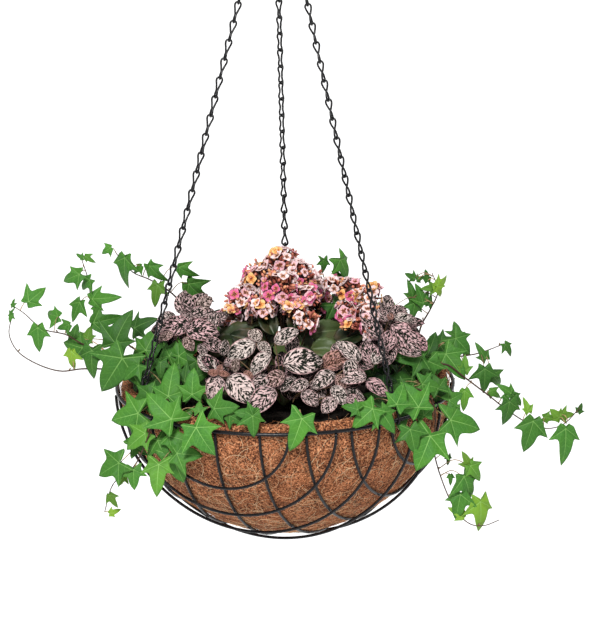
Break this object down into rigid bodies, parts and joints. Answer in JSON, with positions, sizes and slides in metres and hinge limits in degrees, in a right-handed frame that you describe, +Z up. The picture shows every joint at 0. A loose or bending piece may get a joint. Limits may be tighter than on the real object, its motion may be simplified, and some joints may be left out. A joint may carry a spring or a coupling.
{
  "type": "hanging basket",
  "caption": "Planted wire hanging basket with a coconut-fibre liner, carried by three twisted-link chains from a swivel hook.",
  "frame": {"origin": "where the top hook bears on the arm or hook that it hangs from, at the crown of its inner bend", "axes": "+Z up, -Y the front of the basket, +X its right side seen from the front"},
  "size_m": [0.6024, 0.3688, 0.8298],
  "materials": {
    "basket_wire": "black powder coat, satin",
    "chain_steel": "black coated wire, satin",
    "fitting_steel": "black coated wire, satin",
    "coir": "rough matted coconut fibre",
    "soil": "damp crumbly potting soil",
    "flower": "soft matt petals",
    "spotted_leaf": "matt leaf, pale pink with dark green spots",
    "ivy_leaf": "slightly glossy leaf with pale veins",
    "ivy_stem": "smooth green-brown stem"
  },
  "bodies": {
    "hook": {"top_hook": "fitting_steel"},
    "swivel": {"swivel_eye": "fitting_steel"},
    "ring": {"top_ring": "fitting_steel"},
    "basket": {"rim_ring": "basket_wire", "inner_hoop_1": "basket_wire", "inner_hoop_2": "basket_wire", "inner_hoop_3": "basket_wire", "inner_hoop_4": "basket_wire", "inner_hoop_5": "basket_wire", "inner_hoop_6": "basket_wire", "inner_hoop_7": "basket_wire", "inner_hoop_8": "basket_wire", "inner_hoop_9": "basket_wire", "outer_hoop_1": "basket_wire", "outer_hoop_2": "basket_wire", "outer_hoop_3": "basket_wire", "outer_hoop_4": "basket_wire", "outer_hoop_5": "basket_wire", "outer_hoop_6": "basket_wire", "outer_hoop_7": "basket_wire", "outer_hoop_8": "basket_wire", "outer_hoop_9": "basket_wire", "coir_liner": "coir", "potting_soil": "soil", "left_top_link": "chain_steel", "left_chain": "chain_steel", "left_rim_link": "chain_steel", "left_rim_hook": "chain_steel", "right_top_link": "chain_steel", "right_chain": "chain_steel", "right_rim_link": "chain_steel", "right_rim_hook": "chain_steel", "back_top_link": "chain_steel", "back_chain": "chain_steel", "back_rim_link": "chain_steel", "back_rim_hook": "chain_steel", "flowering_plant": "flower", "polka_dot_plant_front": "spotted_leaf", "polka_dot_plant_right": "spotted_leaf", "polka_dot_plant_left": "spotted_leaf", "polka_dot_plant_back": "spotted_leaf", "ivy_left": "ivy_leaf", "ivy_right": "ivy_leaf", "ivy_back": "ivy_leaf", "ivy_vine_left_upper": "ivy_stem", "ivy_vine_left_high": "ivy_stem", "ivy_vine_left_far": "ivy_stem", "ivy_vine_left_curl": "ivy_stem", "ivy_vine_front_left": "ivy_stem", "ivy_vine_right_upper": "ivy_stem", "ivy_vine_right_middle": "ivy_stem", "ivy_vine_right_long": "ivy_stem", "ivy_vine_front_right": "ivy_stem", "ivy_vine_back_left": "ivy_stem", "ivy_vine_back_right": "ivy_stem"}
  },
  "joints": [
    {"name": "basket_turn", "type": "hinge", "parent": "hook", "child": "swivel", "pos_m": [0, 0, -0.046], "axis": [0, 0, 1], "continuous": true},
    {"name": "ring_swing", "type": "hinge", "parent": "swivel", "child": "ring", "pos_m": [0, 0, -0.063], "axis": [1, 0, 0], "range_deg": [-45, 45]},
    {"name": "basket_swing", "type": "hinge", "parent": "ring", "child": "basket", "pos_m": [0, 0, -0.08505], "axis": [0, 1, 0], "range_deg": [-45, 45]}
  ]
}
